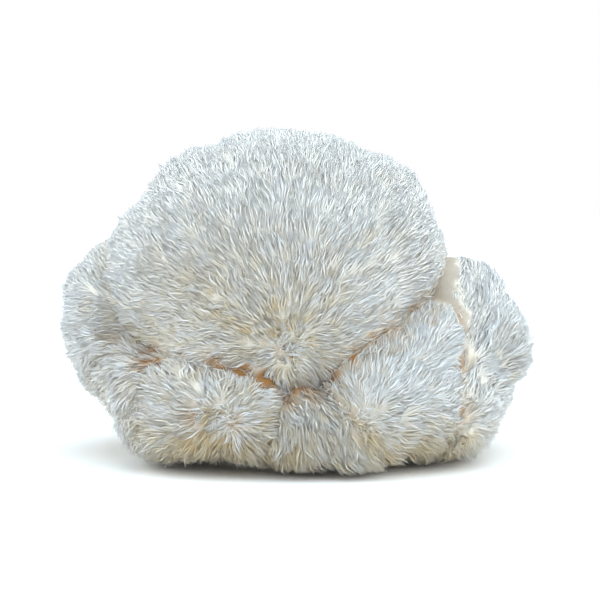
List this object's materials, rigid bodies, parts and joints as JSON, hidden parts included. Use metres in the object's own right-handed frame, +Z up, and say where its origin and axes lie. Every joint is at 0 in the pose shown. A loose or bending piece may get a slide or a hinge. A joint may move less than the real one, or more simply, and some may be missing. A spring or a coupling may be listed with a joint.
{
  "type": "lions mane mushroom",
  "caption": "Fresh lion's mane mushroom: a broad rounded dome over smaller lobes, covered in soft pale spines and cut off flat underneath.",
  "frame": {"origin": "on the cut face, near its middle", "axes": "+Z up, square to the cut; the front, with the dome's whorl of spines, faces -Y; +X is the mushroom's longest way across, to the right seen from the front"},
  "size_m": [0.1852, 0.1161, 0.1273],
  "materials": {
    "mushroom_flesh": "matte"
  },
  "bodies": {
    "root": {"fruiting_body": "mushroom_flesh"}
  },
  "joints": []
}
